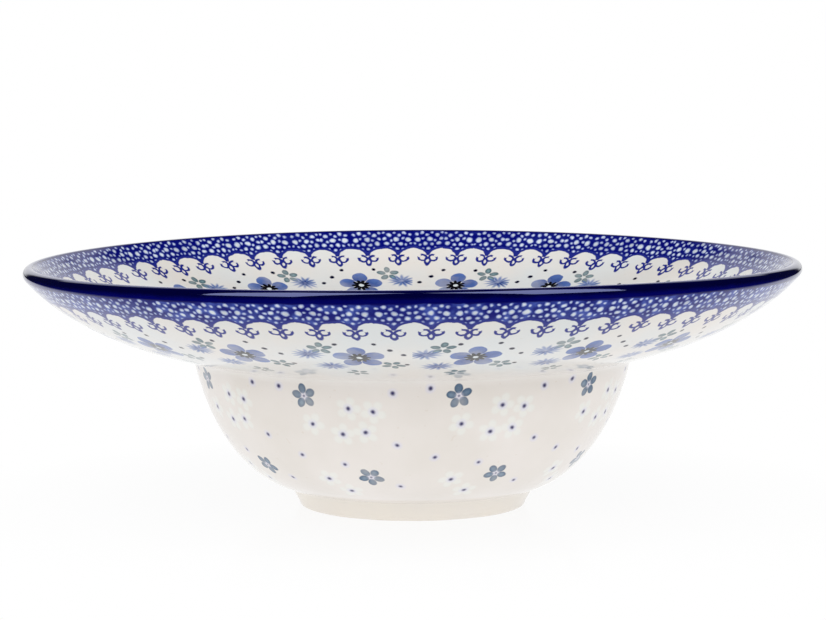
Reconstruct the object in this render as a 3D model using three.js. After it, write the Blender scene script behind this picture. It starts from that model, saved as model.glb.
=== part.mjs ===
// A wheel-thrown pasta bowl: a deep round well, a wide flange that curves up to the rim and a low turned foot.
// Every piece is a turned ring or disc about the Z axis. The bowl stands on Z = 0. Lengths are millimetres.

import * as THREE from 'three';

// Overall sizes
const rimDiameter = 280;
const rimHeight = 90;
const lipThickness = 5;

// Well and flange: the corner is where the wall's line and the flange's underside would meet unrounded
const cornerDiameter = 158.5;
const cornerHeight = 54.2;
const cornerEase = 2.2;
const wallThickness = 5;
const baseThickness = 5;
const floorFlatRadius = 36;

// Foot
const footDiameter = 82;
const footHeight = 6.9;
const footFlare = 3;
const footWidth = 7;
const footEdgeRadius = 1.2;

// Glaze coats, the reach of the cobalt band over the crest, and the thin line that parts bonded pieces
const glazeThickness = 0.5;
const bandPastCrest = 0.9;
const bondGap = 0.05;

// Directions of the outside line, in degrees above level, as it climbs from the foot to the rim
const bellyStartSlope = 2;
const wallTopSlope = 76.8;
const flangeStartSlope = 13.7;
const flangeEndSlope = 49.3;

// Length of each curve's handles as a share of the straight line between its ends
const bellyStartPull = 0.05;
const wallTopPull = 0.7;
const wellWallPull = 0.56;
const flangeStartPull = 0.2;
const flangeEndPull = 0.4;

// Steps round the axis and along each stretch of the profile
const turnSteps = 48;
const bellySteps = 10;
const cornerSteps = 4;
const flangeSteps = 6;
const lipSteps = 6;
const footEdgeSteps = 2;

const radians = THREE.MathUtils.degToRad;
const heading = (slope) => new THREE.Vector2(Math.cos(radians(slope)), Math.sin(radians(slope)));
const towardsInside = (direction) => new THREE.Vector2(-direction.y, direction.x);
const stepped = (point, direction, length) => point.clone().addScaledVector(direction, length);

const footRadius = footDiameter / 2;
const lipRadius = lipThickness / 2;
const lipCentre = new THREE.Vector2(rimDiameter / 2 - lipRadius, rimHeight - lipRadius);

const wallTop = heading(wallTopSlope);
const flangeStart = heading(flangeStartSlope);
const flangeEnd = heading(flangeEndSlope);

// A cubic curve that leaves one point along a heading and reaches another along a second heading
function sweep(from, leaving, leavePull, to, arriving, arrivePull) {
  const span = from.distanceTo(to);
  return new THREE.CubicBezierCurve(
    from,
    stepped(from, leaving, leavePull * span),
    stepped(to, arriving, -arrivePull * span),
    to,
  );
}

// The points of joined curves, each moved by depth to the left of the way the line runs
function offsetLine(curves, depth) {
  const points = [];
  curves.forEach(({ curve, steps }, index) => {
    for (let step = index === 0 ? 0 : 1; step <= steps; step += 1) {
      const share = step / steps;
      points.push(stepped(curve.getPoint(share), towardsInside(curve.getTangent(share)), depth));
    }
  });
  return points;
}

// Points on the lip's round at a radius, from one angle to another in radians, 0 pointing outward
function lipArc(radius, fromAngle, toAngle, steps) {
  const points = [];
  for (let step = 0; step <= steps; step += 1) {
    const angle = THREE.MathUtils.lerp(fromAngle, toAngle, step / steps);
    points.push(new THREE.Vector2(Math.cos(angle), Math.sin(angle)).multiplyScalar(radius).add(lipCentre));
  }
  return points;
}

// Outside line of the finished bowl, from the top of the foot to the lip
const footTop = new THREE.Vector2(footRadius + footFlare, footHeight);
const corner = new THREE.Vector2(cornerDiameter / 2, cornerHeight);
const wallEnd = stepped(corner, wallTop, -cornerEase);
const flangeBegin = stepped(corner, flangeStart, cornerEase);
const lipOutside = stepped(lipCentre, towardsInside(flangeEnd), -lipRadius);
const outsideCurves = [
  {
    curve: sweep(footTop, heading(bellyStartSlope), bellyStartPull, wallEnd, wallTop, wallTopPull),
    steps: bellySteps,
  },
  { curve: new THREE.QuadraticBezierCurve(wallEnd, corner, flangeBegin), steps: cornerSteps },
  {
    curve: sweep(flangeBegin, flangeStart, flangeStartPull, lipOutside, flangeEnd, flangeEndPull),
    steps: flangeSteps,
  },
];

// Inside line of the finished bowl, from the middle of the floor to the lip; the wall is thicker low down
const wallSide = towardsInside(wallTop);
const flangeSide = towardsInside(flangeStart);
const insideShift = wallSide.clone().add(flangeSide).divideScalar(1 + wallSide.dot(flangeSide));
const insideCorner = stepped(corner, insideShift, wallThickness);
const insideWallEnd = stepped(wallEnd, wallSide, wallThickness);
const insideFlangeBegin = stepped(flangeBegin, flangeSide, wallThickness);
const lipInside = stepped(lipCentre, towardsInside(flangeEnd), lipRadius);
const floorHeight = footHeight + baseThickness;
const floorCentre = new THREE.Vector2(0, floorHeight);
const floorReach = floorFlatRadius / floorCentre.distanceTo(insideWallEnd);
const insideCurves = [
  {
    curve: sweep(floorCentre, heading(0), floorReach, insideWallEnd, wallTop, wellWallPull),
    steps: bellySteps,
  },
  { curve: new THREE.QuadraticBezierCurve(insideWallEnd, insideCorner, insideFlangeBegin), steps: cornerSteps },
  {
    curve: sweep(insideFlangeBegin, flangeStart, flangeStartPull, lipInside, flangeEnd, flangeEndPull),
    steps: flangeSteps,
  },
];

// Where the coats end on the lip: the outside coat at the round's start, the inside coat just past the crest
const lipStartAngle = radians(flangeEndSlope - 90);
const lipFinishAngle = radians(flangeEndSlope + 90);
const bandEndAngle = Math.PI / 2 + bandPastCrest / lipRadius;
const bandGapAngle = bondGap / (lipRadius - glazeThickness);
const coatDepth = glazeThickness;
const clayDepth = glazeThickness + bondGap;

// A closed ring or a capped disc turned about Z from a profile of radius and height
function turned(name, profile, material, closed) {
  const outline = closed ? [...profile, profile[0]] : profile;
  const geometry = new THREE.LatheGeometry(outline, turnSteps);
  geometry.rotateX(Math.PI / 2);
  const mesh = new THREE.Mesh(geometry, material);
  mesh.name = name;
  return mesh;
}

const clay = new THREE.MeshStandardMaterial({ color: 0xd8c8b2, roughness: 0.9, metalness: 0 });
const footClay = new THREE.MeshStandardMaterial({ color: 0xe7e0d8, roughness: 0.45, metalness: 0 });
const creamGlaze = new THREE.MeshStandardMaterial({ color: 0xe8e3dd, roughness: 0.12, metalness: 0 });
const cobaltGlaze = new THREE.MeshStandardMaterial({ color: 0x080a52, roughness: 0.1, metalness: 0 });

// The clay wall: up the outside under its coat, over the lip and down the inside to the middle of the floor
function makeBody() {
  const undersideEdge = new THREE.Vector2(footTop.x - clayDepth, footHeight);
  const profile = [
    new THREE.Vector2(0, footHeight),
    undersideEdge,
    ...offsetLine(outsideCurves, clayDepth),
    ...lipArc(lipRadius - clayDepth, lipStartAngle, lipFinishAngle, lipSteps).slice(1, -1),
    ...offsetLine(insideCurves, -clayDepth).reverse(),
  ];
  return turned('stoneware_body', profile, clay, false);
}

// The foot ring: a flared band with rounded lower edges, its flat contact face on Z = 0
function makeFoot() {
  const topHeight = footHeight - bondGap;
  const innerRadius = footRadius - footWidth;
  const edge = (centreRadius, fromAngle) => {
    const points = [];
    for (let step = 0; step <= footEdgeSteps; step += 1) {
      const angle = fromAngle + (Math.PI / 2) * (step / footEdgeSteps);
      const round = new THREE.Vector2(Math.cos(angle), Math.sin(angle)).multiplyScalar(footEdgeRadius);
      points.push(round.add(new THREE.Vector2(centreRadius, footEdgeRadius)));
    }
    return points;
  };
  const profile = [
    ...edge(innerRadius + footEdgeRadius, Math.PI),
    ...edge(footRadius - footEdgeRadius, -Math.PI / 2),
    new THREE.Vector2(footTop.x, topHeight),
    new THREE.Vector2(innerRadius, topHeight),
  ];
  return turned('foot_ring', profile, footClay, true);
}

// The outside coat: from the top of the foot to the cobalt band
function makeOutsideGlaze() {
  const profile = [
    ...offsetLine(outsideCurves, 0),
    ...offsetLine(outsideCurves, coatDepth).reverse(),
  ];
  return turned('outside_glaze', profile, creamGlaze, true);
}

// The inside coat: from the middle of the floor up to the lip and over its round to the cobalt band
function makeInsideGlaze() {
  const start = bandEndAngle + bandGapAngle;
  const overLip = (radius) => lipArc(radius, start, lipFinishAngle, lipSteps / 2).slice(0, -1);
  const profile = [
    ...offsetLine(insideCurves, -coatDepth),
    ...overLip(lipRadius - coatDepth).reverse(),
    ...overLip(lipRadius),
    ...offsetLine(insideCurves, 0).reverse(),
  ];
  return turned('inside_glaze', profile, creamGlaze, false);
}

// The cobalt band: a coat over the lip between the ends of the other two
function makeLipBand() {
  const start = lipStartAngle + bandGapAngle;
  const profile = [
    ...lipArc(lipRadius, start, bandEndAngle, lipSteps),
    ...lipArc(lipRadius - coatDepth, start, bandEndAngle, lipSteps).reverse(),
  ];
  return turned('lip_band', profile, cobaltGlaze, true);
}

// The glaze disc inside the foot, against the clay's flat underside
function makeBaseGlaze() {
  const discRadius = footRadius - footWidth - bondGap;
  const profile = [
    new THREE.Vector2(0, footHeight - bondGap - glazeThickness),
    new THREE.Vector2(discRadius, footHeight - bondGap - glazeThickness),
    new THREE.Vector2(discRadius, footHeight - bondGap),
    new THREE.Vector2(0, footHeight - bondGap),
  ];
  return turned('base_glaze', profile, creamGlaze, false);
}

const bowl = new THREE.Group();
bowl.add(makeBody(), makeFoot(), makeOutsideGlaze(), makeInsideGlaze(), makeLipBand(), makeBaseGlaze());

export default bowl;
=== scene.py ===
"""Dresses the pasta bowl: smooth glazed surfaces, hand-stamped decoration, a turned foot and a plain stage.

Lengths in the decoration are millimetres on the surface. Everything else is metres, in the frame of the part.
"""

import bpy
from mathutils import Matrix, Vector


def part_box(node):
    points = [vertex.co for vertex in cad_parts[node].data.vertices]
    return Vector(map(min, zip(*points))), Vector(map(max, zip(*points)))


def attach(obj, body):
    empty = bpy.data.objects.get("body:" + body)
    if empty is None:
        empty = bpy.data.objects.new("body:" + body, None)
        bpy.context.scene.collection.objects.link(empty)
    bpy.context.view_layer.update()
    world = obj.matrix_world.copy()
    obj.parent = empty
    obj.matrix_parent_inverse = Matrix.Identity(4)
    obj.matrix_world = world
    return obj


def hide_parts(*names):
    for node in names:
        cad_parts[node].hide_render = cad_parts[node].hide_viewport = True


bl_info = {
    "name": "Pasta Bowl",
    "version": (1, 0, 0),
    "blender": (4, 2, 0),
    "location": "3D View > Sidebar > Pasta Bowl",
    "description": "Builds the glazed surfaces, decoration and stage of a stoneware pasta bowl",
    "category": "Object",
}

import math

import bpy
import numpy as np
from mathutils import Vector

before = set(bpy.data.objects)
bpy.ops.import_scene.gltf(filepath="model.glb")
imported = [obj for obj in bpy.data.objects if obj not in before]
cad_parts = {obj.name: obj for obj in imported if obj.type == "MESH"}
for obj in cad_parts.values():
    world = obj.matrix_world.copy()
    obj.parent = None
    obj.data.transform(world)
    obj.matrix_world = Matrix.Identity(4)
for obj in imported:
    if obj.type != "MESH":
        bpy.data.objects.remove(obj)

MM = 0.001

# Steps of the mesh round the axis, and units of each kind of decoration in a turn
COLUMNS = 396
BORDER_UNITS = 66
POSY_UNITS = 18
SCATTER_UNITS = 9

# Kinds of shader node, and the setting that softens the ends of a range
MATH = "ShaderNodeMath"
VECTOR = "ShaderNodeVectorMath"
NOISE = "ShaderNodeTexNoise"
RANGE = "ShaderNodeMapRange"
MIX = "ShaderNodeMix"
SPLIT = "ShaderNodeSeparateXYZ"
SOFT = {"interpolation_type": "SMOOTHSTEP"}

# Angle above which an edge stays sharp
SHARP_ANGLE = math.radians(40)

# Steps along the profiles: hidden faces, the clay's flat underside, the two coats, the disc and the foot
HIDDEN_STEP = 4 * MM
UNDERSIDE_STEP = 6 * MM
OUTSIDE_STEP = 1.6 * MM
INSIDE_STEP = 1.7 * MM
DISC_STEP = 2 * MM
FOOT_STEP = 1 * MM
FILLET_STEP = 0.5 * MM

# Foot: share of its side that the fillet takes, depth of the fillet's end under the wall, and how far and
# how steeply the disc inside it turns down
FILLET_SHARE = 0.3
FILLET_TUCK = 0.3 * MM
DISC_TURN_DOWN = 0.35 * MM
DISC_TURN_POWER = 6

# Power by which the rim's bend grows with the way out from the corner
SADDLE_GROWTH = 1.3

# Bake layout in shares of its disc: hole of a coat that starts at the foot, seen side, hidden ring, edge
BAKE_HOLE = 0.2
BAKE_SEEN = 0.96
BAKE_HIDDEN = (0.962, 0.996)
BAKE_EDGE = 0.999

# Stamping of each coat: seed of the stamps' shifts, and how far the border's cobalt pales in patches
OUTSIDE_SEED, OUTSIDE_THINNESS = 11, 1.0
INSIDE_SEED, INSIDE_THINNESS = 23, 0.15

# Layout of the decoration in millimetres
STAMP_BLEED = 0.2
BAND_OVERLAP = 0.5
BORDER_HALF = 6.28
BORDER_DEPTH = 10.0
SCALLOP_MIDDLE = 13.6
POSY_MIDDLE = 33.5

# Radius of the part of the well's floor that holds one posy, in millimetres
WELL_FLOOR = 38.0

# Millimetres over which the band's cobalt thins, from its middle line, and a petal pales, from its edge
BAND_MIDDLE = 3.0
BAND_THIN = (1.2, 3.2)
PETAL_PALING = (-0.1, -1.1)

# Maps that carry the decoration: name, units in a turn, usual shift of a stamp
DECORATION_MAPS = (
    ("border", BORDER_UNITS, 0.1),
    ("posies", POSY_UNITS, 0.6),
    ("scatter", SCATTER_UNITS, 0.9),
)

# Pale dots of the border: way across from the unit's middle, distance from the lip, radius
BORDER_DOTS = (
    (-5.3, 1.3, 0.60), (-3.3, 2.5, 0.92), (-1.3, 1.2, 0.55), (0.5, 2.6, 0.70), (2.5, 1.4, 0.84),
    (4.7, 2.1, 0.66), (-5.2, 4.3, 0.78), (-2.6, 5.3, 0.62), (-0.6, 4.7, 1.10), (2.1, 4.3, 0.58),
    (4.2, 5.0, 1.24), (-4.4, 6.9, 1.02), (-1.6, 7.5, 0.72), (1.1, 7.2, 0.95), (3.3, 7.7, 0.54),
    (5.5, 7.2, 0.50), (-2.9, 9.2, 0.52), (-0.3, 9.8, 0.72), (1.9, 9.8, 0.56), (0.2, 12.1, 0.46),
)

# Spiky sprigs of the posies: middle, length of a needle, turn
SPRIGS = (((-15.4, 30.6), 5.4, 0.2), ((-9.2, 42.4), 5.2, 0.5))

# Single dots of the posy ring and of the wall: way across, distance from the lip, radius
POSY_DOTS = ((12.5, 27.0, 0.95), (16.4, 31.0, 0.9), (8.0, 22.4, 0.8), (-5.0, 22.6, 0.85), (16.0, 40.5, 0.8))
WALL_DOTS = (
    (-22.0, 71.0, 0.75), (20.0, 72.0, 0.75), (19.0, 92.0, 0.65), (-17.0, 98.0, 0.65), (-1.0, 101.0, 0.6),
    (16.0, 112.0, 0.6),
)

# Middles of the wall's white slip flowers and of its slate florets
SLIP_FLOWERS = (
    (4.0, 78.0), (12.6, 79.0), (9.0, 87.0), (0.8, 88.0), (-10.0, 84.5), (-9.0, 109.0), (-2.5, 116.0),
)
SLATE_FLORETS = ((-12.0, 74.0), (7.0, 107.0))

# Lit table as the glaze mirrors it: its soft front and side edges in metres, the bow of the front edge,
# and how far the sides open out with the way back
TABLE_FRONT = (-0.16, -0.05)
TABLE_SIDE = (0.42, 0.3)
TABLE_BOW = 2.6
TABLE_SPREAD = 0.27

# Distances from the axis between which the floor's shadow fades, in metres
SHADOW_REACH = (0.05, 0.18)

# Surround: sines of the heights between which its light, its mirrored backdrop and the narrow foot of that
# backdrop end, and cosines of the angles from straight behind between which its front, the foot and the
# rest end
FILL_TOP = (0.55, 0.25)
FRONT_SIDE = (-0.75, -0.3)
BACKDROP_TOP = (0.72, 0.55)
BACKDROP_FOOT_TOP = (0.38, 0.44)
BACKDROP_FOOT_SIDE = (0.9, 0.95)
BACKDROP_SIDE = (0.79, 0.88)

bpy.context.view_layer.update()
LIP_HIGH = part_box("lip_band")[1]
FOOT_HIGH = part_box("foot_ring")[1]
BASE_LOW, BASE_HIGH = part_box("base_glaze")
INSIDE_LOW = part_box("inside_glaze")[0]


def linear(hex_colour):
    """Linear red, green, blue and alpha of an sRGB hex colour, by the sRGB curve."""
    shares = [int(hex_colour[i:i + 2], 16) / 255 for i in (1, 3, 5)]
    return [s / 12.92 if s <= 0.04045 else ((s + 0.055) / 1.055) ** 2.4 for s in shares] + [1.0]


def length(name, description, default):
    """A length property in metres."""
    return bpy.props.FloatProperty(
        name=name, description=description, default=default, unit="LENGTH", precision=5
    )


def slope(name, description, degrees):
    """An angle property, given in degrees above level."""
    return bpy.props.FloatProperty(
        name=name, description=description, default=math.radians(degrees), subtype="ANGLE"
    )


def share(name, description, default):
    """A number from 0 to 1."""
    return bpy.props.FloatProperty(
        name=name, description=description, default=default, min=0, max=1, subtype="FACTOR"
    )


def level(name, description, default):
    """A brightness or a lamp's power."""
    return bpy.props.FloatProperty(name=name, description=description, default=default, min=0)


def colour(name, description, hex_colour):
    """A colour property from an sRGB hex value."""
    return bpy.props.FloatVectorProperty(
        name=name, description=description, default=linear(hex_colour), size=4, subtype="COLOR", min=0, max=1
    )


class BowlShape(bpy.types.PropertyGroup):
    """Sizes of the bowl's profile and of the warp that firing gave it."""

    rim_radius: length("Rim radius", "Axis to the outermost point of the lip", LIP_HIGH[0])
    rim_height: length("Rim height", "Mean height of the crest of the lip", LIP_HIGH[2] - 0.6 * MM)
    lip_thickness: length("Lip thickness", "Thickness of the wall at the lip", 5 * MM)
    band_past_crest: length("Band past crest", "How far the cobalt reaches over the crest", 0.9 * MM)
    corner_radius: length("Corner radius", "Where the lines of wall and flange would meet", 79.25 * MM)
    corner_height: length("Corner height", "Height of that meeting point", 54.2 * MM)
    corner_ease: length("Corner ease", "Length over which the corner is rounded each way", 2.2 * MM)
    wall_thickness: length("Wall thickness", "Glaze to glaze through the wall", 5 * MM)
    floor_height: length("Floor height", "Middle of the well's floor", INSIDE_LOW[2] + 0.5 * MM)
    floor_flat: length("Floor flat", "Reach of the flat middle of the floor", 36 * MM)
    foot_radius: length("Foot radius", "Outer radius of the foot at the ground", FOOT_HIGH[0] - 3 * MM)
    foot_top_radius: length("Foot top radius", "Outer radius of the foot at its top", FOOT_HIGH[0])
    foot_height: length("Foot height", "Ground to the top of the foot", FOOT_HIGH[2] + 0.05 * MM)
    foot_width: length("Foot width", "Width of the foot ring", 7 * MM)
    foot_round: length("Foot round", "Rounding of the foot's lower edges", 1.2 * MM)
    glaze_thickness: length("Glaze thickness", "Thickness of each coat", 0.5 * MM)
    bond_gap: length("Bond gap", "Thin line that parts fused pieces", 0.05 * MM)
    belly_start: slope("Belly start", "Slope where the wall leaves the foot", 2)
    wall_top: slope("Wall top", "Slope of the wall below the corner", 76.8)
    flange_start: slope("Flange start", "Slope of the flange at the corner", 13.7)
    flange_end: slope("Flange end", "Slope of the flange at the lip", 49.3)
    belly_pull: share("Belly start pull", "Handle at the foot, as a share of the curve's span", 0.05)
    wall_pull: share("Wall top pull", "Handle at the wall's top outside, as a share of the span", 0.7)
    well_pull: share("Well wall pull", "Handle at the wall's top inside, as a share of the span", 0.56)
    flange_start_pull: share("Flange start pull", "Handle at the corner, as a share of the span", 0.2)
    flange_end_pull: share("Flange end pull", "Handle at the lip, as a share of the span", 0.4)
    saddle: length("Saddle", "Rise of the rim at front and back, and fall at the sides", 0.9 * MM)
    saddle_turn: slope("Saddle turn", "How far the saddle is turned from front and back", 8)
    tilt: length("Tilt", "Rise of the rim at the right, and fall at the left", 1 * MM)


class GlazeColours(bpy.types.PropertyGroup):
    """Colours of the clay, the glazes and the stamped decoration."""

    clay: colour("Clay", "Fired clay under the glaze", "#CDBBA3")
    foot: colour("Foot", "Thin glaze on the foot", "#EFE7DA")
    cream: colour("Cream", "Clear glaze over the pale body", "#EEE8E3")
    # The flange's cream is cooler and a little darker than the wall's, set to match how much darker the
    # flange looks
    cool: colour("Cool cream", "The same glaze on the flange, where cobalt blushes it", "#DFE2E2")
    pooled: colour("Pooled cream", "The same glaze where it lies thicker", "#E7E1DA")
    slip: colour("White slip", "Raised white flowers", "#F1F6F1")
    cobalt: colour("Cobalt", "Solid cobalt of the lip and of the posies' dots", "#00002E")
    cobalt_thin: colour("Thin cobalt", "Cobalt where it thins at its edges", "#02035C")
    lace: colour("Lace", "Cobalt ground of the border", "#030870")
    wash: colour("Wash", "The same ground where it is thin", "#3F52A6")
    line: colour("Line", "Cobalt of the drawn scrolls", "#232C86")
    reserve: colour("Reserve", "Pale dots left in the border", "#DCE3E6")
    tinge: colour("Tinge", "The same dots at their edge, where cobalt runs into them", "#93A3DC")
    petal_deep: colour("Petal deep", "Blossoms and sprigs at their middle", "#283E82")
    petal_pale: colour("Petal pale", "Blossom towards the ends of its petals", "#5A76B6")
    sprig: colour("Sprig", "Spiky blue sprigs", "#607BB0")
    leaf_deep: colour("Leaf deep", "Grey-green florets at their edge", "#46626C")
    leaf_pale: colour("Leaf pale", "Grey-green florets in the middle of a petal", "#7F9CA2")
    slate_deep: colour("Slate deep", "Slate florets at their edge", "#47617C")
    slate_pale: colour("Slate pale", "Slate florets in the middle of a petal", "#8296AA")
    stamen: colour("Stamen", "Black strokes in a blossom", "#0B0B12")
    dot: colour("Dot", "Single dots of the wall", "#413F66")
    halo: colour("Halo", "Colour that bleeds round a dot", "#D9D8EE")


class StageSetup(bpy.types.PropertyGroup):
    """Camera, floor and light."""

    camera_distance: length("Camera distance", "Camera to the bowl's axis, measured level", 1.050)
    camera_height: length("Camera height", "Camera above the ground", 0.17245)
    camera_side: length("Camera side", "Camera to the right of the bowl's axis", 0.0002)
    camera_pitch: slope("Camera pitch", "How far the camera looks down", 5.543)
    lens: level("Lens", "Focal length on a 36 mm frame", 126.8)
    floor_size: length("Floor size", "Side of the square floor", 30.0)
    box_power: level("Softbox power", "Power of each softbox in watts", 8.5)
    box_width: length("Softbox width", "Width of each softbox", 0.64)
    box_height: length("Softbox height", "Height of each softbox", 1.3)
    box_distance: length("Softbox distance", "Each softbox to the bowl", 1.2)
    box_turn: slope("Softbox turn", "How far each softbox stands to the side of the camera", 47)
    box_rise: slope("Softbox rise", "How high each softbox stands", 47)
    surround: level("Surround", "Brightness of the low white surround beside and behind", 0.66)
    front: level("Front", "Brightness of the low surround behind the camera", 1.3)
    backdrop_mirrored: level("Backdrop in reflections", "Brightness of the backdrop in the glaze", 1.0)
    front_mirrored: level("Room in reflections", "Brightness of the rest in the glaze", 0.009)
    floor_glow: share("Floor glow", "Share of the white that no shadow takes, next to the bowl", 0.84)
    table_light: level("Table light", "Brightness of the lit table as it lights the bowl", 0.93)


def heading(angle):
    """Unit step in radius and height for a slope."""
    return np.array([math.cos(angle), math.sin(angle)])


def left_of(steps):
    """Unit steps turned a quarter turn to the left, so from outside to inside on a line that climbs."""
    return np.stack([-steps[..., 1], steps[..., 0]], axis=-1)


def sweep(start, leaving, leave_pull, end, arriving, arrive_pull, count=90):
    """Cubic curve that leaves start along one heading and reaches end along another.

    Its two handles are shares of the span: (1-t)^3 a + 3(1-t)^2 t b + 3(1-t) t^2 c + t^3 d.
    """
    span = np.linalg.norm(end - start)
    t = np.linspace(0, 1, count)[:, None]
    near = start + leaving * leave_pull * span
    far = end - arriving * arrive_pull * span
    return (1 - t) ** 3 * start + 3 * (1 - t) ** 2 * t * near + 3 * (1 - t) * t ** 2 * far + t ** 3 * end


def ease(start, corner, end, count=40):
    """Quadratic curve from start to end, drawn towards a corner: (1-t)^2 a + 2(1-t) t b + t^2 c."""
    t = np.linspace(0, 1, count)[:, None]
    return (1 - t) ** 2 * start + 2 * (1 - t) * t * corner + t ** 2 * end


def arc(centre, radius, start, end, count=12):
    """Points on a circle from one angle to another."""
    angle = np.linspace(start, end, count)
    return centre + radius * np.stack([np.cos(angle), np.sin(angle)], axis=-1)


def travel(line):
    """Distance along a line of points, from 0 at its first point."""
    return np.concatenate([[0], np.cumsum(np.linalg.norm(np.diff(line, axis=0), axis=1))])


def spaced(line, step):
    """The same line with points about one step apart, both ends kept."""
    run = travel(line)
    at = np.linspace(0, run[-1], int(round(run[-1] / step)) + 2)
    return np.stack([np.interp(at, run, line[:, 0]), np.interp(at, run, line[:, 1])], axis=-1)


def sunk(line, depth):
    """The line moved to its left by depth, each point along its own normal."""
    along = np.gradient(line, axis=0)
    along /= np.linalg.norm(along, axis=1)[:, None]
    return line + depth * left_of(along)


def lip_centre(shape):
    """Middle of the round that ends the wall at the lip."""
    half = shape.lip_thickness / 2
    return np.array([shape.rim_radius - half, shape.rim_height - half])


def band_angles(shape):
    """Angles on the lip's round where the cobalt band starts outside and ends inside."""
    finish = math.pi / 2 + shape.band_past_crest / (shape.lip_thickness / 2)
    return shape.flange_end - math.pi / 2, finish


def outside_line(shape):
    """Outer surface from the top of the foot to the start of the lip's round: belly, corner, flange."""
    wall, flange, last = heading(shape.wall_top), heading(shape.flange_start), heading(shape.flange_end)
    foot_top = np.array([shape.foot_top_radius, shape.foot_height])
    corner = np.array([shape.corner_radius, shape.corner_height])
    wall_end = corner - shape.corner_ease * wall
    flange_begin = corner + shape.corner_ease * flange
    lip = lip_centre(shape) - left_of(last) * shape.lip_thickness / 2
    belly = sweep(foot_top, heading(shape.belly_start), shape.belly_pull, wall_end, wall, shape.wall_pull)
    rise = sweep(flange_begin, flange, shape.flange_start_pull, lip, last, shape.flange_end_pull)
    return np.concatenate([belly, ease(wall_end, corner, flange_begin)[1:], rise[1:]])


def inside_line(shape):
    """Inner surface from the middle of the floor to the lip's round; the wall is thicker low down."""
    wall, flange, last = heading(shape.wall_top), heading(shape.flange_start), heading(shape.flange_end)
    in_wall, in_flange = left_of(wall), left_of(flange)
    corner = np.array([shape.corner_radius, shape.corner_height])
    thick = shape.wall_thickness
    wall_end = corner - shape.corner_ease * wall + thick * in_wall
    flange_begin = corner + shape.corner_ease * flange + thick * in_flange
    inner_corner = corner + thick * (in_wall + in_flange) / (1 + in_wall @ in_flange)
    lip = lip_centre(shape) + left_of(last) * shape.lip_thickness / 2
    middle = np.array([0.0, shape.floor_height])
    floor_pull = shape.floor_flat / np.linalg.norm(wall_end - middle)
    well = sweep(middle, heading(0), floor_pull, wall_end, wall, shape.well_pull)
    rise = sweep(flange_begin, flange, shape.flange_start_pull, lip, last, shape.flange_end_pull)
    return np.concatenate([well, ease(wall_end, inner_corner, flange_begin)[1:], rise[1:]])


def fired(points, shape):
    """Points moved by the warp of the firing.

    The rim bends into a saddle, high near front and back and low near the sides, which grows from none at
    the corner. The whole bowl leans to the left, more with the distance from the foot.
    """
    radius = np.hypot(points[..., 0], points[..., 1])
    angle = np.arctan2(points[..., 1], points[..., 0])
    past_corner = (radius - shape.corner_radius) / (shape.rim_radius - shape.corner_radius)
    bend = np.clip(past_corner, 0, None) ** SADDLE_GROWTH
    saddle = shape.saddle * np.cos(2 * (angle - shape.saddle_turn))
    lean = np.clip((radius - shape.foot_top_radius) / (shape.rim_radius - shape.foot_top_radius), 0, None)
    points[..., 2] += lean * shape.tilt * np.cos(angle) - bend * saddle
    return points


def turned_piece(name, node, profile, shape, closed):
    """A mesh object turned about Z from a profile of radius and height whose outside is on its right.

    A point is (r cos a, r sin a, h) for each row (r, h) and each of COLUMNS angles a, then warped. A closed
    profile makes a ring. An open one starts and ends on the axis, where each end row is a single point with
    a fan of triangles round it. Returns the object and, for each corner of each face, its row, its column
    counted on without wrapping, and the first row and column of its face.
    """
    last = len(profile) - 1
    angle = np.arange(COLUMNS) * 2 * math.pi / COLUMNS - math.pi / 2
    radius, height = profile[:, 0, None], profile[:, 1, None] * np.ones(COLUMNS)
    points = fired(np.stack([radius * np.cos(angle), radius * np.sin(angle), height], axis=-1), shape)
    row, column = np.meshgrid(np.arange(len(profile) if closed else last), np.arange(COLUMNS), indexing="ij")
    after = (row + 1) % len(profile)
    rows = np.stack([row, row, after, after], axis=-1).reshape(-1, 4)
    columns = np.stack([column, column + 1, column + 1, column], axis=-1).reshape(-1, 4)
    index = rows * COLUMNS + columns % COLUMNS
    kept = np.ones_like(rows, dtype=bool)
    if closed:
        points = points.reshape(-1, 3)
    else:
        points = np.concatenate([points[0, :1], points[1:-1].reshape(-1, 3), points[-1, :1]])
        index = np.where(rows == 0, 0, np.where(rows == last, len(points) - 1, index - COLUMNS + 1))
        kept[rows[:, 0] == 0, 0] = False
        kept[rows[:, 2] == last, 2] = False
    whole = kept.all(axis=1)
    faces = index[whole].tolist()
    fans = index[~whole][kept[~whole]].reshape(-1, 3).tolist()
    order = np.argsort(~whole, kind="stable")
    mesh = bpy.data.meshes.new(name)
    mesh.from_pydata(points.tolist(), [], faces + fans)
    mesh.shade_smooth()
    mesh.set_sharp_from_angle(angle=SHARP_ANGLE)
    mesh.validate()
    piece = bpy.data.objects.new(name, mesh)
    bpy.context.scene.collection.objects.link(piece)
    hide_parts(node)
    first_rows, first_columns = rows[:, :1] * np.ones((1, 4), int), columns[:, :1] * np.ones((1, 4), int)
    corners = [grid[order][kept[order]] for grid in (rows, columns, first_rows, first_columns)]
    return piece, corners


def put_map(piece, name, across, along):
    """Adds a UV map with one pair of values for each face corner."""
    layer = piece.data.uv_layers.new(name=name)
    layer.uv.foreach_set("vector", np.stack([across, along], axis=-1).astype(np.float32).ravel())


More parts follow.
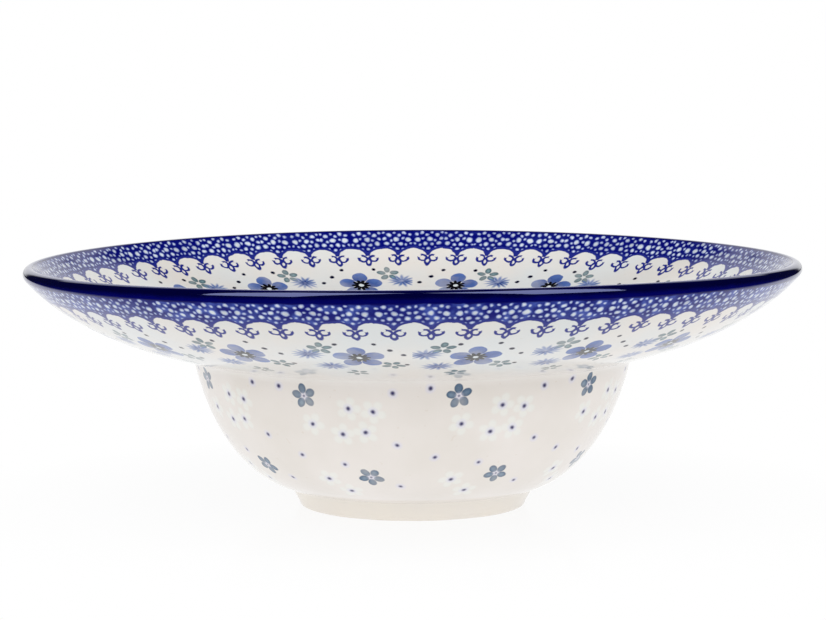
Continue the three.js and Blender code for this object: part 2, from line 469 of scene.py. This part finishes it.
def put_decoration_maps(piece, corners, profile, reach, seed):
    """Maps that place the stamped decoration, in millimetres.

    Each map cuts the turn into like units: the first value is the way round from the unit's middle, the
    second is the distance from the lip. Each unit is shifted a little, as a hand stamp is, and every other
    unit of the border is turned over. On the floor of the well the posy map is flat, so that one posy lies
    in the middle.
    """
    rows, columns, first_rows, first_columns = corners
    radius, along = profile[rows, 0] / MM, reach[rows] / MM
    border_radius = profile[np.argmin(abs(reach - BORDER_DEPTH * MM)), 0] / MM
    chance = np.random.default_rng(seed)
    for name, units, shift in DECORATION_MAPS:
        per_unit = COLUMNS // units
        unit = first_columns // per_unit
        turn = (columns - (unit + 0.5) * per_unit) * 2 * math.pi / COLUMNS
        moved = chance.normal(0, shift, (units, 2))
        across = turn * (border_radius if name == "border" else radius) + moved[unit, 0]
        down = along + moved[unit, 1]
        if name == "border":
            across = np.where(unit % 2, -across, across)
        if name == "posies":
            flat = profile[first_rows, 0] < WELL_FLOOR * MM
            round_turn = columns * 2 * math.pi / COLUMNS
            across = np.where(flat, radius * np.cos(round_turn), across)
            down = np.where(flat, radius * np.sin(round_turn) + POSY_MIDDLE, down)
        put_map(piece, name, across, down)


def put_bake_map(piece, corners, seen, inside_first):
    """A flat round layout for baking: the seen side fills the disc, the hidden side is a thin outer ring.

    The seen line runs from the axis or the foot to the lip. Inside first means that the piece's rows start
    with the hidden side, from the middle out, and that the seen side follows from the lip to the middle.
    """
    rows, columns, first_rows = corners[:3]
    start = 0.0 if seen[0, 0] == 0 else BAKE_HOLE
    shown = start + (BAKE_SEEN - start) * travel(seen) / travel(seen)[-1]
    hidden = np.linspace(*BAKE_HIDDEN, len(seen))
    spread = np.concatenate([hidden[::-1], shown[::-1]] if inside_first else [shown, hidden])
    closing = (first_rows == len(spread) - 1) & (rows == 0)
    away = np.where(closing, BAKE_EDGE, spread[rows]) / 2
    turn = columns * 2 * math.pi / COLUMNS
    put_map(piece, "OFBake", 0.5 + away * np.cos(turn), 0.5 + away * np.sin(turn))


def between(value, low, high, to=(0.0, 1.0)):
    """Inputs of a range node that carries values between two limits to values between two others."""
    return {"Value": value, "From Min": low, "From Max": high, "To Min": to[0], "To Max": to[1]}


def add(tree, kind, inputs=None, operation=None, **settings):
    """Adds a node with its settings, feeds its inputs from values or other outputs, and gives its output."""
    node = tree.nodes.new(kind)
    if operation:
        node.operation = operation
    for name, value in settings.items():
        setattr(node, name, value)
    for key, value in (inputs or {}).items():
        if isinstance(value, bpy.types.NodeSocket):
            tree.links.new(value, node.inputs[key])
        else:
            node.inputs[key].default_value = value
    return next(socket for socket in node.outputs if socket.enabled)


def spots(tree, point, places):
    """Millimetres to the edge of the nearest round spot of some (x, y, radius), negative inside."""
    edges = []
    for x, y, radius in places:
        away = add(tree, VECTOR, {0: point, 1: (x, y, 0)}, "DISTANCE")
        edges.append(add(tree, MATH, {0: away, 1: radius}, "SUBTRACT"))
    return lowest(tree, *edges)


def oval(tree, point, x, y, half_wide, half_high):
    """Millimetres to the edge of an upright oval, negative inside, true near its sides."""
    scale = (1 / half_wide, 1 / half_high, 0)
    shift = (-x / half_wide, -y / half_high, 0)
    moved = add(tree, VECTOR, {0: point, 1: scale, 2: shift}, "MULTIPLY_ADD")
    size = add(tree, VECTOR, {0: moved}, "LENGTH")
    narrow = min(half_wide, half_high)
    return add(tree, MATH, {0: size, 1: narrow, 2: -narrow}, "MULTIPLY_ADD")


def petals(tree, point, place, count, middle, long, wide, turn=0.0, high=1.0):
    """Millimetres to the edge of a ring of like oval petals about a place, negative inside.

    The way round is folded onto one petal, whose oval is then measured from its own middle. High under 1
    flattens the whole flower.
    """
    moved = add(tree, VECTOR, {0: point, 1: (*place, 0)}, "SUBTRACT")
    if high != 1.0:
        moved = add(tree, VECTOR, {0: moved, 1: (1, 1 / high, 1)}, "MULTIPLY")
    parts = add(tree, SPLIT, {0: moved}).node.outputs
    angle = add(tree, MATH, {0: parts["Y"], 1: parts["X"]}, "ARCTAN2")
    turned = add(tree, MATH, {0: angle, 1: turn + 2 * math.pi}, "ADD")
    folded = add(tree, MATH, {0: turned, 1: math.pi / count}, "PINGPONG")
    away = add(tree, VECTOR, {0: moved}, "LENGTH")
    cosine = add(tree, MATH, {0: folded}, "COSINE")
    sine = add(tree, MATH, {0: folded}, "SINE")
    along = add(tree, MATH, {0: away, 1: cosine}, "MULTIPLY")
    across = add(tree, MATH, {0: away, 1: sine}, "MULTIPLY")
    onto_petal = add(tree, "ShaderNodeCombineXYZ", {"X": along, "Y": across})
    return oval(tree, onto_petal, middle, 0, long / 2, wide / 2)


def lowest(tree, *edges):
    """The nearest of several edges."""
    nearest = edges[0]
    for edge in edges[1:]:
        nearest = add(tree, MATH, {0: nearest, 1: edge}, "MINIMUM")
    return nearest


def stroke(tree, edge, half_width):
    """Millimetres to the edge of a line drawn along another edge."""
    size = add(tree, MATH, {0: edge}, "ABSOLUTE")
    return add(tree, MATH, {0: size, 1: half_width}, "SUBTRACT")


def ink(tree, edge, bleed):
    """Cover inside an edge, softened over the bleed of the glaze in millimetres."""
    return add(tree, RANGE, between(edge, bleed, -bleed), **SOFT)


def paint(tree, under, over, cover):
    """One colour laid over another where it covers."""
    return add(tree, MIX, {0: cover, 6: under, 7: over}, data_type="RGBA")


def stamp(tree, under, edge, tone, load, bleed=STAMP_BLEED):
    """A stamped shape, thinner where the stamp's load is low."""
    cover = add(tree, MATH, {0: ink(tree, edge, bleed), 1: load}, "MULTIPLY")
    return paint(tree, under, tone, cover)


def gathered(tree, edge, deep, pale, pool):
    """Colour of a stamped petal: deep along its edge, where wet colour gathers, paler in patches inside."""
    inside = add(tree, RANGE, between(edge, *PETAL_PALING))
    return paint(tree, deep, pale, add(tree, MATH, {0: inside, 1: pool}, "MULTIPLY"))


def border_layers(tree, under, point, ink_set, load, pool, thinness):
    """The lace border and its fringe: pale dots in a cobalt ground, scallops, and two curls at each point.

    The brushed edge of the lip's cobalt runs a little way over it.
    """
    mirrored = add(tree, VECTOR, {0: point}, "ABSOLUTE")
    distance = add(tree, SPLIT, {0: mirrored}).node.outputs["Y"]
    scallop = oval(tree, mirrored, BORDER_HALF, SCALLOP_MIDDLE, 6.2, 4.6)
    above = add(tree, MATH, {0: scallop, 1: -1.0}, "MULTIPLY")
    near_lip = add(tree, MATH, {0: distance, 1: SCALLOP_MIDDLE}, "SUBTRACT")
    ground = add(tree, MATH, {0: above, 1: near_lip}, "MAXIMUM")
    scallop_line = add(tree, MATH, {0: stroke(tree, scallop, 0.55), 1: near_lip}, "MAXIMUM")
    curl = stroke(tree, spots(tree, mirrored, [(2.15, 15.2, 1.7)]), 0.52)
    gap = add(tree, MATH, {0: spots(tree, mirrored, [(3.5, 13.8, 0.85)]), 1: -1.0}, "MULTIPLY")
    open_curl = add(tree, MATH, {0: curl, 1: gap}, "MAXIMUM")
    drop = stroke(tree, oval(tree, mirrored, 0, 17.1, 1.0, 1.9), 0.46)
    patches = add(tree, MATH, {0: pool, 1: 2.0}, "POWER")
    patches = add(tree, MATH, {0: patches, 1: thinness}, "MULTIPLY")
    tone = paint(tree, ink_set.lace, ink_set.wash, patches)
    laid = paint(tree, under, tone, ink(tree, ground, STAMP_BLEED))
    dots = add(tree, MATH, {0: spots(tree, point, BORDER_DOTS), 1: ground}, "MAXIMUM")
    core = add(tree, RANGE, between(dots, -0.05, -0.6))
    laid = stamp(tree, laid, dots, paint(tree, ink_set.tinge, ink_set.reserve, core), load, 0.3)
    fringe = lowest(tree, scallop_line, open_curl, drop)
    laid = paint(tree, laid, ink_set.line, ink(tree, fringe, STAMP_BLEED))
    band_edge = add(tree, MATH, {0: distance, 1: BAND_OVERLAP}, "SUBTRACT")
    return paint(tree, laid, ink_set.cobalt_thin, ink(tree, band_edge, 0.3))


def posy_layers(tree, under, point, ink_set, load, pool):
    """The ring of posies: a blossom with black stamens, grey-green florets, blue sprigs and dots."""
    blossom_place = (1.5, POSY_MIDDLE)
    leaves = lowest(
        tree,
        petals(tree, point, (-10.4, 25.6), 5, 2.7, 3.6, 2.5, turn=0.3),
        petals(tree, point, (11.4, 41.0), 5, 2.5, 3.2, 2.2, turn=1.0),
        petals(tree, point, (-2.0, 51.0), 5, 2.4, 3.0, 2.0, turn=0.6),
    )
    sprigs = lowest(tree, *[
        petals(tree, point, place, 13, 2.7, long, 1.3, turn, 0.75) for place, long, turn in SPRIGS
    ])
    sprig_hearts = lowest(tree, *[
        petals(tree, point, place, 9, 1.7, long - 2.2, 0.9, turn + 0.3, 0.75) for place, long, turn in SPRIGS
    ])
    blossom = petals(tree, point, blossom_place, 5, 5.5, 6.8, 6.2, turn=0.35)
    strokes = petals(tree, point, blossom_place, 10, 2.3, 3.1, 1.45, turn=0.1)
    leaf_tone = gathered(tree, leaves, ink_set.leaf_deep, ink_set.leaf_pale, pool)
    laid = stamp(tree, under, leaves, leaf_tone, load)
    laid = stamp(tree, laid, sprigs, paint(tree, ink_set.petal_pale, ink_set.sprig, pool), load, 0.4)
    laid = stamp(tree, laid, sprig_hearts, ink_set.petal_deep, pool, 0.4)
    from_middle = add(tree, VECTOR, {0: point, 1: (*blossom_place, 0)}, "DISTANCE")
    outward = add(tree, RANGE, between(from_middle, 2.5, 8.5))
    patches = add(tree, MATH, {0: pool, 1: 0.45}, "MULTIPLY")
    paleness = add(tree, MATH, {0: outward, 1: 0.6, 2: patches}, "MULTIPLY_ADD")
    tone = paint(tree, ink_set.petal_deep, ink_set.petal_pale, paleness)
    laid = stamp(tree, laid, blossom, tone, load)
    laid = paint(tree, laid, ink_set.reserve, ink(tree, spots(tree, point, [(*blossom_place, 2.3)]), 0.6))
    laid = paint(tree, laid, ink_set.stamen, ink(tree, strokes, 0.12))
    laid = paint(tree, laid, ink_set.reserve, ink(tree, spots(tree, point, [(*blossom_place, 0.95)]), 0.2))
    return paint(tree, laid, ink_set.cobalt, ink(tree, spots(tree, point, POSY_DOTS), 0.3))


def wall_layers(tree, under, point, ink_set, load, pool):
    """Scattered stamps of the wall: slate florets, white slip flowers with a dot each, and single dots.

    Returns the colour and the cover of the slip, which stands a little proud.
    """
    slip = lowest(tree, *[
        petals(tree, point, place, 5, 2.7, 3.5, 3.0, turn=0.9 * i) for i, place in enumerate(SLIP_FLOWERS)
    ])
    florets = lowest(tree, *[
        petals(tree, point, place, 5, 2.75, 3.7, 2.9, turn=0.45 * (i + 1))
        for i, place in enumerate(SLATE_FLORETS)
    ])
    dots = [(*place, 0.72) for place in SLIP_FLOWERS] + [(*place, 0.35) for place in SLATE_FLORETS]
    dots += WALL_DOTS
    slip_cover = ink(tree, slip, 0.6)
    thin_slip = add(tree, MATH, {0: slip_cover, 1: 0.42}, "MULTIPLY")
    laid = paint(tree, under, ink_set.slip, thin_slip)
    slate_tone = gathered(tree, florets, ink_set.slate_deep, ink_set.slate_pale, pool)
    laid = stamp(tree, laid, florets, slate_tone, load)
    edge = spots(tree, point, dots)
    halo = add(tree, RANGE, between(edge, 1.5, 0.0, (0.0, 0.65)))
    laid = paint(tree, laid, ink_set.halo, halo)
    return paint(tree, laid, ink_set.dot, ink(tree, edge, 0.5)), slip_cover


def new_material(name):
    """An empty node material, its tree and the place of every point in metres."""
    material = bpy.data.materials.new(name)
    material.use_nodes = True
    material.node_tree.nodes.clear()
    place = add(material.node_tree, "ShaderNodeTexCoord").node.outputs["Object"]
    return material, material.node_tree, place


def finish_material(tree, inputs):
    """Ends a tree with one physically based surface."""
    surface = add(tree, "ShaderNodeBsdfPrincipled", inputs)
    ending = tree.nodes.new("ShaderNodeOutputMaterial")
    tree.links.new(surface, ending.inputs["Surface"])


def patchy(place, size_mm, detail):
    """Inputs of a noise node that makes patches of a size in millimetres out of places in metres."""
    return {"Vector": place, "Scale": 1000 / size_mm, "Detail": detail}


def decorated_glaze(ink_set, name, thinness):
    """Clear glossy glaze over a pale body: soft cream clouds, stamped cobalt that bleeds a little, and slip.

    Thinness is how far the border's cobalt pales in patches.
    """
    material, tree, place = new_material(name)
    cloud = add(tree, NOISE, patchy(place, 28, 3.0))
    cloud_share = add(tree, RANGE, between(cloud, 0.35, 0.7))
    scatter = add(tree, "ShaderNodeUVMap", uv_map="scatter")
    from_lip = add(tree, SPLIT, {0: scatter}).node.outputs["Y"]
    # Between 75 and 50 mm from the lip the cream turns to the cooler, darker flange colour
    flange = add(tree, RANGE, between(from_lip, 75.0, 50.0), **SOFT)
    cream = paint(tree, paint(tree, ink_set.cream, ink_set.cool, flange), ink_set.pooled, cloud_share)
    fleck = add(tree, NOISE, patchy(place, 1.6, 0.0))
    fleck_cover = add(tree, RANGE, between(fleck, 0.8, 0.85, (0.0, 0.15)))
    cream = paint(tree, cream, ink_set.clay, fleck_cover)
    load_patch = add(tree, NOISE, patchy(place, 9, 4.0))
    load = add(tree, RANGE, between(load_patch, 0.36, 0.58, (0.7, 1.0)))
    wander = add(tree, NOISE, patchy(place, 3.4, 2.5)).node.outputs["Color"]
    wobble = add(tree, VECTOR, {0: wander, 1: (1.5, 1.5, 0), 2: (-0.75, -0.75, 0)}, "MULTIPLY_ADD")
    maps = {}
    for each, amount in (("border", 1.0), ("posies", 0.6), ("scatter", 0.4)):
        flat = add(tree, "ShaderNodeUVMap", uv_map=each)
        maps[each] = add(tree, VECTOR, {0: wobble, 1: (amount, amount, 0), 2: flat}, "MULTIPLY_ADD")
    pooling = add(tree, NOISE, patchy(place, 4.5, 2.0))
    pool = add(tree, RANGE, between(pooling, 0.32, 0.66))
    colour_laid, slip_cover = wall_layers(tree, cream, maps["scatter"], ink_set, load, pool)
    colour_laid = posy_layers(tree, colour_laid, maps["posies"], ink_set, load, pool)
    colour_laid = border_layers(tree, colour_laid, maps["border"], ink_set, load, pool, thinness)
    height = add(tree, MATH, {0: slip_cover, 1: 0.5, 2: cloud}, "MULTIPLY_ADD")
    relief = add(tree, "ShaderNodeBump", {"Height": height, "Strength": 0.25, "Distance": 0.4 * MM})
    finish_material(tree, {
        "Base Color": colour_laid, "Roughness": 0.07, "IOR": 1.5, "Normal": relief,
    })
    return material


def cobalt_glaze(ink_set):
    """Thick glossy cobalt, nearly black where it lies deep and bluer where it thins towards its two edges."""
    material, tree, place = new_material("cobalt lip glaze")
    patch = add(tree, NOISE, patchy(place, 6, 4.0))
    band = add(tree, "ShaderNodeUVMap", uv_map="band")
    across = add(tree, SPLIT, {0: band}).node.outputs["Y"]
    from_middle = add(tree, MATH, {0: across, 1: BAND_MIDDLE}, "SUBTRACT")
    off_middle = add(tree, MATH, {0: from_middle}, "ABSOLUTE")
    ragged = add(tree, MATH, {0: patch, 1: 1.2, 2: off_middle}, "MULTIPLY_ADD")
    thin = add(tree, RANGE, between(ragged, *BAND_THIN), **SOFT)
    tone = paint(tree, ink_set.cobalt, ink_set.cobalt_thin, thin)
    relief = add(tree, "ShaderNodeBump", {"Height": patch, "Strength": 0.1, "Distance": 0.3 * MM})
    finish_material(tree, {
        "Base Color": tone, "Roughness": 0.06, "IOR": 1.62, "Specular IOR Level": 0.85,
        "Specular Tint": linear("#B4BFFF"), "Normal": relief,
    })
    return material


def foot_glaze(ink_set, name, bare_below):
    """Thin warm glaze over turned clay, wiped off the face that stands on the table, where clay shows."""
    material, tree, place = new_material(name)
    cloud = add(tree, NOISE, patchy(place, 14, 3.0))
    tone = paint(tree, ink_set.foot, ink_set.pooled, cloud)
    height = add(tree, SPLIT, {0: place}).node.outputs["Z"]
    ragged = add(tree, MATH, {0: cloud, 1: 0.6 * MM, 2: height}, "MULTIPLY_ADD")
    bare = add(tree, RANGE, between(ragged, bare_below + 0.5 * MM, bare_below + 0.3 * MM))
    tone = paint(tree, tone, ink_set.clay, bare)
    rough = add(tree, RANGE, between(bare, 0.0, 1.0, (0.22, 0.85)))
    grain = add(tree, NOISE, patchy(place, 0.8, 2.0))
    relief = add(tree, "ShaderNodeBump", {"Height": grain, "Strength": 0.15, "Distance": 0.1 * MM})
    finish_material(tree, {"Base Color": tone, "Roughness": rough, "IOR": 1.5, "Normal": relief})
    return material


def bare_clay(ink_set):
    """Fired buff clay: matt and a little sandy."""
    material, tree, place = new_material("buff stoneware clay")
    grain = add(tree, NOISE, patchy(place, 1.2, 3.0))
    tone = paint(tree, ink_set.clay, ink_set.foot, grain)
    finish_material(tree, {"Base Color": tone, "Roughness": 0.9})
    return material


def dress(piece, material):
    """Gives a finished piece its material and its slot, and lets it ride on the part."""
    piece.data.materials.append(material)
    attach(piece, "root")


class BOWL_OT_body(bpy.types.Operator):
    """Builds the clay wall that the coats cover"""

    bl_idname = "bowl.body"
    bl_label = "Clay body"

    def execute(self, context):
        shape, ink_set = context.scene.bowl_shape, context.scene.bowl_colours
        depth = shape.glaze_thickness + shape.bond_gap
        round_radius = shape.lip_thickness / 2 - depth
        start = shape.flange_end - math.pi / 2
        over_lip = arc(lip_centre(shape), round_radius, start, start + math.pi)
        outer = spaced(sunk(outside_line(shape), depth), HIDDEN_STEP)
        inner = spaced(sunk(inside_line(shape), -depth), HIDDEN_STEP)[::-1]
        under = np.array([[0, shape.foot_height], [shape.foot_top_radius - depth, shape.foot_height]])
        inner[-1, 0] = 0
        profile = np.concatenate([spaced(under, UNDERSIDE_STEP), outer[1:], over_lip[1:-1], inner])
        piece, _ = turned_piece("clay_body", "stoneware_body", profile, shape, False)
        dress(piece, bare_clay(ink_set))
        return {"FINISHED"}


class BOWL_OT_foot(bpy.types.Operator):
    """Builds the foot ring and the glazed disc inside it"""

    bl_idname = "bowl.foot"
    bl_label = "Foot"

    def execute(self, context):
        shape, ink_set = context.scene.bowl_shape, context.scene.bowl_colours
        edge = shape.foot_round
        inner_radius = shape.foot_radius - shape.foot_width
        top = shape.foot_height - shape.bond_gap
        inner_edge = arc(np.array([inner_radius + edge, edge]), edge, math.pi, 1.5 * math.pi)
        outer_edge = arc(np.array([shape.foot_radius - edge, edge]), edge, -0.5 * math.pi, 0)
        crease = np.array([shape.foot_top_radius, top])
        below_crease = crease + FILLET_SHARE * (outer_edge[-1] - crease)
        wall = spaced(outside_line(shape), FILLET_STEP)
        on_wall, under_wall = wall[2], sunk(wall[1:4], FILLET_TUCK)[1]
        fillet = ease(below_crease, crease, on_wall, 12)
        back = spaced(np.array([[inner_radius, top], inner_edge[0]]), FOOT_STEP)[:-1]
        profile = np.concatenate([inner_edge, outer_edge, fillet, [under_wall], back])
        ring, _ = turned_piece("foot", "foot_ring", profile, shape, True)
        dress(ring, foot_glaze(ink_set, "thin foot glaze", 0.0))
        disc_radius = inner_radius - shape.bond_gap
        seen = spaced(np.array([[0, BASE_LOW[2]], [disc_radius, BASE_LOW[2]]]), DISC_STEP)
        seen[:, 1] -= DISC_TURN_DOWN * (seen[:, 0] / disc_radius) ** DISC_TURN_POWER
        hidden = spaced(np.array([[disc_radius, BASE_HIGH[2]], [0, BASE_HIGH[2]]]), HIDDEN_STEP)
        disc, _ = turned_piece("base_disc", "base_glaze", np.concatenate([seen, hidden]), shape, False)
        dress(disc, foot_glaze(ink_set, "base glaze", -1.0))
        return {"FINISHED"}


class BOWL_OT_coats(bpy.types.Operator):
    """Builds the decorated coats of the inside and the outside"""

    bl_idname = "bowl.coats"
    bl_label = "Decorated coats"

    def execute(self, context):
        shape, ink_set = context.scene.bowl_shape, context.scene.bowl_colours
        thick = shape.glaze_thickness
        outer_seen = spaced(outside_line(shape), OUTSIDE_STEP)
        outer = np.concatenate([outer_seen, sunk(outer_seen, thick)[::-1]])
        outer_reach = travel(outer_seen[::-1])
        outer_reach = np.concatenate([outer_reach[::-1], outer_reach])
        piece, corners = turned_piece("outside_coat", "outside_glaze", outer, shape, True)
        put_decoration_maps(piece, corners, outer, outer_reach, OUTSIDE_SEED)
        put_bake_map(piece, corners, outer_seen, False)
        glaze = decorated_glaze(ink_set, "stamped cream glaze outside", OUTSIDE_THINNESS)
        dress(piece, glaze)
        finish = band_angles(shape)[1] + shape.bond_gap / shape.lip_thickness * 2
        round_end = shape.flange_end + math.pi / 2
        over_lip = arc(lip_centre(shape), shape.lip_thickness / 2, round_end, finish)
        inner_seen = spaced(np.concatenate([inside_line(shape), over_lip[1:]]), INSIDE_STEP)
        inner_sunk = sunk(inner_seen, -thick)
        inner_sunk[0, 0] = 0
        inner = np.concatenate([inner_sunk, inner_seen[::-1]])
        inner_reach = travel(inner_seen[::-1])
        inner_reach = np.concatenate([inner_reach[::-1], inner_reach])
        piece, corners = turned_piece("inside_coat", "inside_glaze", inner, shape, False)
        put_decoration_maps(piece, corners, inner, inner_reach, INSIDE_SEED)
        put_bake_map(piece, corners, inner_seen, True)
        glaze = decorated_glaze(ink_set, "stamped cream glaze inside", INSIDE_THINNESS)
        dress(piece, glaze)
        return {"FINISHED"}


class BOWL_OT_band(bpy.types.Operator):
    """Builds the cobalt band over the lip"""

    bl_idname = "bowl.band"
    bl_label = "Cobalt band"

    def execute(self, context):
        shape, ink_set = context.scene.bowl_shape, context.scene.bowl_colours
        centre, radius = lip_centre(shape), shape.lip_thickness / 2
        start, finish = band_angles(shape)
        start += shape.bond_gap / radius
        outer = arc(centre, radius, start, finish, 22)
        inner = arc(centre, radius - shape.glaze_thickness, finish, start, 12)
        profile = np.concatenate([outer, inner])
        piece, corners = turned_piece("cobalt_band", "lip_band", profile, shape, True)
        from_edge = np.concatenate([travel(outer), travel(inner)[::-1]]) / MM
        put_map(piece, "band", corners[1] * 2 * math.pi / COLUMNS, from_edge[corners[0]])
        dress(piece, cobalt_glaze(ink_set))
        return {"FINISHED"}


class BOWL_OT_stage(bpy.types.Operator):
    """Sets up the camera, the pale floor, two softboxes and a white surround"""

    bl_idname = "bowl.stage"
    bl_label = "Stage"

    def execute(self, context):
        scene, setup = context.scene, context.scene.bowl_stage
        camera = bpy.data.objects.new("camera", bpy.data.cameras.new("camera"))
        camera.data.lens = setup.lens
        camera.data.clip_end = 100
        camera.location = (setup.camera_side, -setup.camera_distance, setup.camera_height)
        camera.rotation_euler = (math.pi / 2 - setup.camera_pitch, 0, 0)
        scene.camera = camera
        half = setup.floor_size / 2
        ground = bpy.data.meshes.new("floor")
        corners = [(-half, -half, 0), (half, -half, 0), (half, half, 0), (-half, half, 0)]
        ground.from_pydata(corners, [], [(0, 1, 2, 3)])
        floor = bpy.data.objects.new("floor", ground)
        ground.materials.append(floor_material(setup))
        stage = [camera, floor]
        for side in (-1, 1):
            lamp = bpy.data.lights.new("softbox", "AREA")
            lamp.shape = "RECTANGLE"
            lamp.size, lamp.size_y = setup.box_width, setup.box_height
            lamp.energy = setup.box_power
            box = bpy.data.objects.new("softbox", lamp)
            level_reach = math.cos(setup.box_rise)
            across, ahead = side * math.sin(setup.box_turn), -math.cos(setup.box_turn)
            aim = Vector((across * level_reach, ahead * level_reach, math.sin(setup.box_rise)))
            box.location = aim * setup.box_distance + Vector((0, 0, context.scene.bowl_shape.rim_height))
            box.rotation_euler = aim.to_track_quat("Z", "Y").to_euler()
            box.visible_camera = False
            stage.append(box)
        for thing in stage:
            scene.collection.objects.link(thing)
        scene.world = surround(setup)
        scene.view_settings.view_transform = "Standard"
        return {"FINISHED"}


def floor_material(setup):
    """White acrylic light table: it lights the bowl from below and shows a faint shadow and mirror image.

    The camera sees white. The glaze mirrors the lit table under the bowl and the dim room in front of it.
    """
    material, tree, place = new_material("white acrylic light table")
    cloud = add(tree, NOISE, patchy(place, 400, 2.0))
    tone = paint(tree, linear("#F4F4F4"), linear("#F8F8F8"), cloud)
    sheet = add(tree, "ShaderNodeBsdfPrincipled", {"Base Color": tone, "Roughness": 0.12, "IOR": 1.49})
    parts = add(tree, SPLIT, {0: place}).node.outputs
    side = add(tree, MATH, {0: parts["X"]}, "ABSOLUTE")
    bow = add(tree, MATH, {0: side, 1: side}, "MULTIPLY")
    depth = add(tree, MATH, {0: bow, 1: -TABLE_BOW, 2: parts["Y"]}, "MULTIPLY_ADD")
    behind_front = add(tree, RANGE, between(depth, *TABLE_FRONT), **SOFT)
    from_side = add(tree, MATH, {0: parts["Y"], 1: -TABLE_SPREAD, 2: side}, "MULTIPLY_ADD")
    between_sides = add(tree, RANGE, between(from_side, *TABLE_SIDE), **SOFT)
    patch = add(tree, MATH, {0: behind_front, 1: between_sides}, "MULTIPLY")
    mirrored = add(tree, RANGE, between(patch, 0.0, 1.0, (setup.front_mirrored, 1.0)))
    rays = add(tree, "ShaderNodeLightPath").node.outputs
    lit = add(tree, MIX, {0: rays["Is Camera Ray"], 2: setup.table_light, 3: 1.0})
    lit = add(tree, MIX, {0: rays["Is Glossy Ray"], 2: lit, 3: mirrored})
    glow = add(tree, "ShaderNodeEmission", {"Color": (1, 1, 1, 1), "Strength": lit})
    away = add(tree, VECTOR, {0: place}, "LENGTH")
    unshaded = add(tree, RANGE, between(away, *SHADOW_REACH, (setup.floor_glow, 1.0)))
    amount = add(tree, MIX, {0: rays["Is Camera Ray"], 2: 1.0, 3: unshaded})
    mixed = add(tree, "ShaderNodeMixShader", {0: amount, 1: sheet, 2: glow})
    ending = tree.nodes.new("ShaderNodeOutputMaterial")
    tree.links.new(mixed, ending.inputs["Surface"])
    return material


def surround(setup):
    """White to the camera. The bowl is lit by its low part only, and mirrors only the backdrop behind."""
    world = bpy.data.worlds.new("white surround")
    world.use_nodes = True
    tree = world.node_tree
    tree.nodes.clear()
    way = add(tree, "ShaderNodeTexCoord").node.outputs["Generated"]
    parts = add(tree, SPLIT, {0: way}).node.outputs
    rays = add(tree, "ShaderNodeLightPath").node.outputs
    ends = between(parts["Y"], *FRONT_SIDE, (setup.front, setup.surround))
    all_round = add(tree, RANGE, ends, **SOFT)
    level_way = add(tree, VECTOR, {0: way, 1: (1, 1, 0)}, "MULTIPLY")
    level_way = add(tree, VECTOR, {0: level_way}, "NORMALIZE")
    behind = add(tree, SPLIT, {0: level_way}).node.outputs["Y"]
    low = add(tree, RANGE, between(parts["Z"], *FILL_TOP), **SOFT)
    wide_sides = add(tree, RANGE, between(behind, *BACKDROP_SIDE), **SOFT)
    foot_sides = add(tree, RANGE, between(behind, *BACKDROP_FOOT_SIDE), **SOFT)
    over_foot = add(tree, RANGE, between(parts["Z"], *BACKDROP_FOOT_TOP), **SOFT)
    under_top = add(tree, RANGE, between(parts["Z"], *BACKDROP_TOP), **SOFT)
    lighting = add(tree, MATH, {0: all_round, 1: low}, "MULTIPLY")
    sides = add(tree, MIX, {0: over_foot, 2: foot_sides, 3: wide_sides})
    backdrop = add(tree, MATH, {0: sides, 1: under_top}, "MULTIPLY")
    seen = {0: backdrop, 2: setup.front_mirrored, 3: setup.backdrop_mirrored}
    mirrored = add(tree, MIX, seen)
    room = add(tree, MIX, {0: rays["Is Glossy Ray"], 2: lighting, 3: mirrored})
    bright = add(tree, MIX, {0: rays["Is Camera Ray"], 2: room, 3: 1.0})
    light = add(tree, "ShaderNodeBackground", {"Color": (1, 1, 1, 1), "Strength": bright})
    ending = tree.nodes.new("ShaderNodeOutputWorld")
    tree.links.new(light, ending.inputs["Surface"])
    return world


OPERATORS = (BOWL_OT_body, BOWL_OT_foot, BOWL_OT_coats, BOWL_OT_band, BOWL_OT_stage)


class BOWL_PT_panel(bpy.types.Panel):
    """Sidebar panel with the steps and the sizes"""

    bl_idname = "BOWL_PT_panel"
    bl_label = "Pasta Bowl"
    bl_space_type = "VIEW_3D"
    bl_region_type = "UI"
    bl_category = "Pasta Bowl"

    def draw(self, context):
        for operator in OPERATORS:
            self.layout.operator(operator.bl_idname)
        for group in (context.scene.bowl_shape, context.scene.bowl_colours, context.scene.bowl_stage):
            for name in group.__annotations__:
                self.layout.prop(group, name)


CLASSES = (BowlShape, GlazeColours, StageSetup, *OPERATORS, BOWL_PT_panel)


def register():
    for item in CLASSES:
        bpy.utils.register_class(item)
    bpy.types.Scene.bowl_shape = bpy.props.PointerProperty(type=BowlShape)
    bpy.types.Scene.bowl_colours = bpy.props.PointerProperty(type=GlazeColours)
    bpy.types.Scene.bowl_stage = bpy.props.PointerProperty(type=StageSetup)


def unregister():
    del bpy.types.Scene.bowl_stage
    del bpy.types.Scene.bowl_colours
    del bpy.types.Scene.bowl_shape
    for item in reversed(CLASSES):
        bpy.utils.unregister_class(item)


def main():
    """Registers the add-on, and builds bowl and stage."""
    register()
    bpy.ops.bowl.body()
    bpy.ops.bowl.foot()
    bpy.ops.bowl.coats()
    bpy.ops.bowl.band()
    bpy.ops.bowl.stage()


if __name__ == "__main__":
    main()
